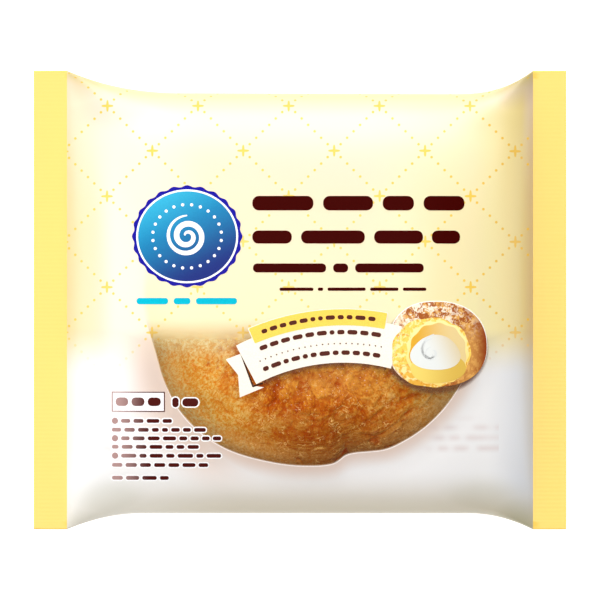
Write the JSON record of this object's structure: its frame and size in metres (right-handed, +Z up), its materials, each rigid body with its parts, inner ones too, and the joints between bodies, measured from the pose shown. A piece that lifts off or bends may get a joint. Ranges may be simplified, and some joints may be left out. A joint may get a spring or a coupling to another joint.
{
  "type": "packed cream puff",
  "caption": "Cream puff in a sealed pillow pack, printed cream above and fading to clear over the puff, with flat end seals and a folded fin along the back.",
  "frame": {"origin": "middle of the underside, where the pack rests on its back", "axes": "+X along the pack to its right-hand end seal, +Y to the upper edge of the printed front, +Z up out of the front"},
  "size_m": [0.144, 0.124, 0.038],
  "materials": {
    "film": "thin satin film, printed pale cream, clear over the puff",
    "seal_band": "crimped film, plain yellow",
    "choux": "baked choux crust, golden brown, wrinkled and dull",
    "print_yellow": "printed ink on film",
    "print_brown": "printed ink on film",
    "print_white": "printed ink on film",
    "print_blue": "printed ink on film",
    "print_cyan": "printed ink on film"
  },
  "bodies": {
    "root": {"film_pack": "film"}
  },
  "joints": []
}
